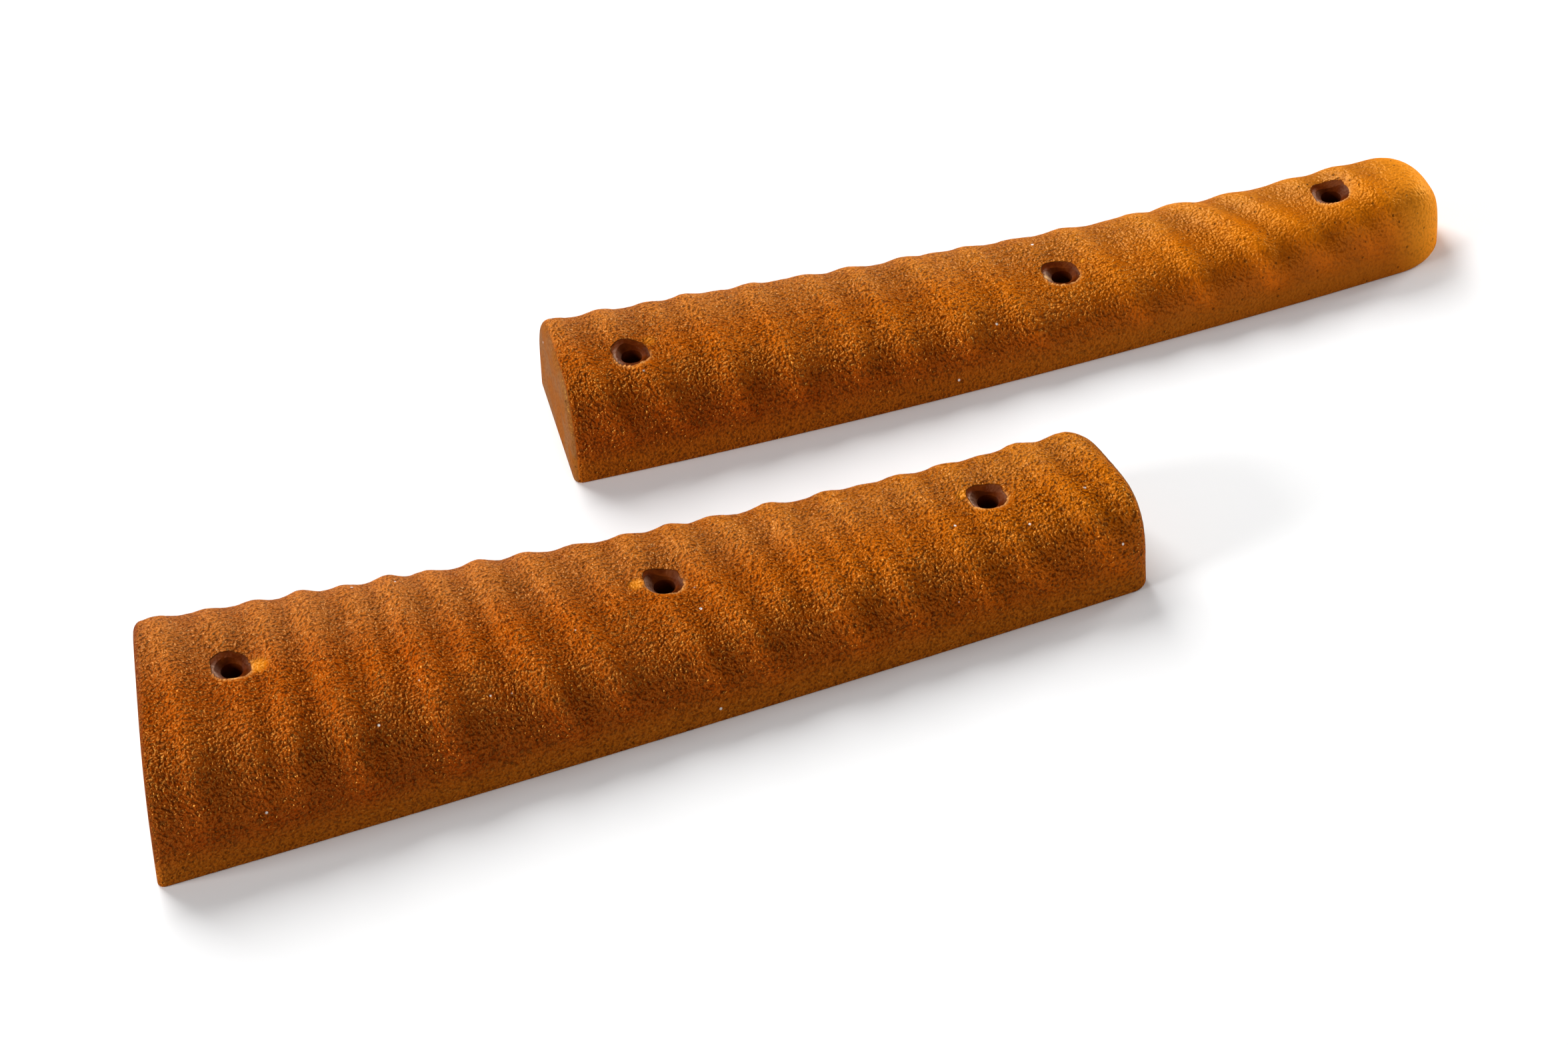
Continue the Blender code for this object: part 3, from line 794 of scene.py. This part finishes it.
def sand_resin():
    """Cast resin with a sand texture: softer by the nose and smooth in the screw holes."""
    material, tree, shader = new_material("sand_resin")
    place = add_node(tree, "ShaderNodeTexCoord", output=3)
    rise = add_node(tree, "ShaderNodeSeparateXYZ", {}, {"Vector": place}, output=2)
    grip, painted_shade = (painted(tree, name) for name in ("grip", "painted_shade"))
    hollow, bloom = (painted(tree, name) for name in ("hollow", "bloom"))
    crown, back, light = (painted(tree, name) for name in ("crown", "back", "light"))
    end, nose = (painted(tree, name) for name in ("end", "nose"))
    lip, calm, sheen, cream = (painted(tree, name) for name in ("lip", "calm", "sheen", "cream"))
    worn = painted(tree, "worn")

    ragged = noise_at(tree, place, RAGGED_SIZE, detail=1.0) - 0.5
    smooth = (hollow + ragged * 0.8 * back).clear_of(0.3, 0.7)
    sand = grip * (1 - smooth) * (1 - 0.35 * nose)
    sand = sand * (1 - 0.55 * bloom.clear_of(0.3, 0.8)) * (1 - 0.75 * calm)
    grains = sand_grains(tree, place)
    pit = 1 - grains.clear_of(0.40, 0.62)
    patch = noise_at(tree, place, PATCH_SIZE, detail=3.0)
    cloud = noise_at(tree, place, CLOUD_SIZE, detail=2.0)
    hole = (1 - spots_at(tree, place, PINHOLE_SPACING).clear_of(0.06, 0.16)) * (1 - smooth)
    # Painted glints: a few pale sparkles on the sand
    sparkle = (1 - spots_at(tree, place, SPARKLE_SPACING).clear_of(0.025, 0.045)) * (1 - smooth)

    # Painted light and shade: the crown lighter than the flank, paler behind it, all lighter along
    # the casting
    flank = mixed(tree, light, *FLANK_PAINTED_SHADE)
    top = mixed(tree, light, *CROWN_PAINTED_LIGHT)
    top = mixed(tree, back * 0.8, top, mixed(tree, light, *BEHIND_CROWN_PAINTED_LIGHT))
    amber = mixed(tree, crown, flank, top)
    amber = mixed(tree, patch.clear_of(0.30, 0.70) * 0.16, amber, ORANGE_PATCH)
    amber = mixed(tree, (cloud - 0.5).clear_of(0.0, 0.25) * 0.28, amber, BROWN_CLOUD)
    amber = mixed(tree, calm * 0.35, amber, CALM_AMBER)
    # Painted shade in the valleys, behind the screw holes and on the wide casting's left rounding
    amber = mixed(tree, painted_shade * 0.40, amber, VALLEY_PAINTED_SHADE)
    # Painted light on the nose, lighter and yellower
    amber = mixed(tree, nose, amber, NOSE_PAINTED_LIGHT)
    # Painted bounce light from the floor: paler and greyer low on the sides
    low = mixed(tree, (1 - rise.clear_of(*LOW_BAND_HEIGHTS)) * (1 - nose) * 0.8, amber, LOW_BAND_PAINTED_LIGHT)
    # End faces: painted shade, darker than the resin, mottled with a greyer painted sheen
    face = mixed(tree, patch.clear_of(0.40, 0.65), *END_FACE_PAINTED_SHADE)
    # A pale pinkish patch of painted sheen on the tip's left end face
    face = mixed(tree, worn.clear_of(0.30, 0.75) * 0.7, face, PAINTED_SHEEN_PATCH)
    low = mixed(tree, end, low, face)
    # Painted shade in the pits between the sand's grains
    pitted = mixed(tree, pit * (0.14 + 0.70 * sand) * (1 - 0.25 * back * (1 - end)), low, PIT_PAINTED_SHADE)
    bloomed = mixed(tree, bloom.clear_of(0.20, 0.90) * 0.75 * (1 - smooth), pitted, BLOOM_YELLOW)
    pierced = mixed(tree, hole * 0.65, bloomed, PINHOLE_BROWN)
    # The rim's flash, with a painted highlight on its front edge
    lipped = mixed(tree, lip * 0.55, pierced, LIP_FLASH_AND_HIGHLIGHT)
    # Countersink walls: the resin painted dark as painted shade, mottled in two
    cone = mixed(tree, cloud.clear_of(0.35, 0.65), *SINK_WALL_PAINTED_SHADE)
    streak = noise_at(tree, place, STREAK_SIZE, detail=2.0).clear_of(0.3, 0.6)
    # Painted reflection on the countersinks' side walls
    cone = mixed(tree, sheen * (0.32 + 0.55 * streak), cone, SINK_SHEEN)
    cone = mixed(tree, cream, cone, CHIP_CREAM)
    colour = mixed(tree, smooth, lipped, cone)
    colour = mixed(tree, sparkle * 0.9, colour, PAINTED_SPARKLE)
    tree.links.new(colour.link, shader.inputs["Base Color"])
    shader.inputs["Roughness"].default_value = RESIN_ROUGHNESS
    shader.inputs["Specular IOR Level"].default_value = 0.0

    height = grains * (0.10 + 0.90 * sand) - 0.25 * hole + 0.08 * cloud * smooth
    sockets = {"Strength": 1.0, "Distance": GRAIN_RELIEF, "Height": height}
    bump = add_node(tree, "ShaderNodeBump", {}, sockets)
    tree.links.new(bump.link, shader.inputs["Normal"])
    gloss(tree, shader, bump, smooth, sand, back, nose)
    return material


def gloss(tree, shader, bump, smooth, sand, back, nose):
    """The resin's shine: yellow in front, paler behind the crown, dull brown where it is smooth."""
    glint = mixed(tree, back * (1 - nose), *GLINT)
    shade = mixed(tree, smooth, glint, SMOOTH_GLINT)
    rough = RESIN_ROUGHNESS - 0.31 * sand
    sockets = {"Metallic": 1.0, "Base Color": shade, "Roughness": rough, "Normal": bump}
    shine = add_node(tree, "ShaderNodeBsdfPrincipled", {}, sockets)
    body = Socket(tree, shader.outputs[0])
    both = add_node(tree, "ShaderNodeMixShader", {}, {0: GLINT_SHARE, 1: body, 2: shine})
    tree.links.new(both.link, tree.nodes["Material Output"].inputs["Surface"])


def pale_floor():
    bpy.ops.mesh.primitive_plane_add(size=FLOOR_SIZE, location=(0, 0, 0))
    floor = bpy.context.active_object
    floor.name = "floor"
    material, _, shader = new_material("floor_paint")
    shader.inputs["Base Color"].default_value = (FLOOR_SHADE, FLOOR_SHADE, FLOOR_SHADE, 1)
    shader.inputs["Roughness"].default_value = FLOOR_ROUGHNESS
    floor.data.materials.append(material)


def studio():
    world = bpy.data.worlds.new("studio")
    bpy.context.scene.world = world
    world.use_nodes = True
    sky = world.node_tree.nodes["Background"]
    sky.inputs["Color"].default_value = (1, 1, 1, 1)
    sky.inputs["Strength"].default_value = SKY_STRENGTH
    for name, toward, distance, size, power in LAMPS:
        lamp(name, Vector(toward), distance, size, power)


def lamp(name, toward, distance, size, power):
    """A square soft box, aimed at the set from the given direction."""
    toward = toward.normalized()
    bpy.ops.object.light_add(type="AREA", location=toward * distance)
    light = bpy.context.active_object
    light.name = name
    light.data.shape = "SQUARE"
    light.data.size = size
    light.data.energy = power
    light.rotation_euler = (-toward).to_track_quat("-Z", "Y").to_euler()


def photograph():
    """The camera of the photograph, found by fitting both castings' outlines."""
    elevation, yaw, roll = radians(40.8), radians(17.55), radians(2.63)
    aim = Vector((WIDE_ORIGIN[0] + CAMERA_AIM[0], WIDE_ORIGIN[1] + CAMERA_AIM[1], 0.0))
    ahead = Vector((cos(elevation) * sin(yaw), cos(elevation) * cos(yaw), -sin(elevation)))
    right = Vector((cos(yaw), -sin(yaw), 0.0))
    up = right.cross(ahead)
    across = right * cos(roll) - up * sin(roll)
    upward = up * cos(roll) + right * sin(roll)
    data = bpy.data.cameras.new("camera")
    data.sensor_width = SENSOR_WIDTH
    data.lens = FOCAL_PIXELS / PHOTO_WIDTH * SENSOR_WIDTH
    data.shift_x = SHIFT_PIXELS[0] / PHOTO_WIDTH
    data.shift_y = SHIFT_PIXELS[1] / PHOTO_WIDTH
    data.clip_end = 20.0
    camera = bpy.data.objects.new("camera", data)
    bpy.context.scene.collection.objects.link(camera)
    turned = Matrix((across, upward, -ahead)).transposed().to_4x4()
    camera.matrix_world = Matrix.Translation(aim - ahead * CAMERA_DISTANCE) @ turned
    bpy.context.scene.camera = camera


resin = sand_resin()
for shape, node in ((WIDE, "wide_section"), (TIP, "tip_section")):
    casting = make_casting(shape, resin)
    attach(casting, shape.body)
    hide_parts(node)
pale_floor()
studio()
photograph()
bpy.context.scene.view_settings.view_transform = "Standard"
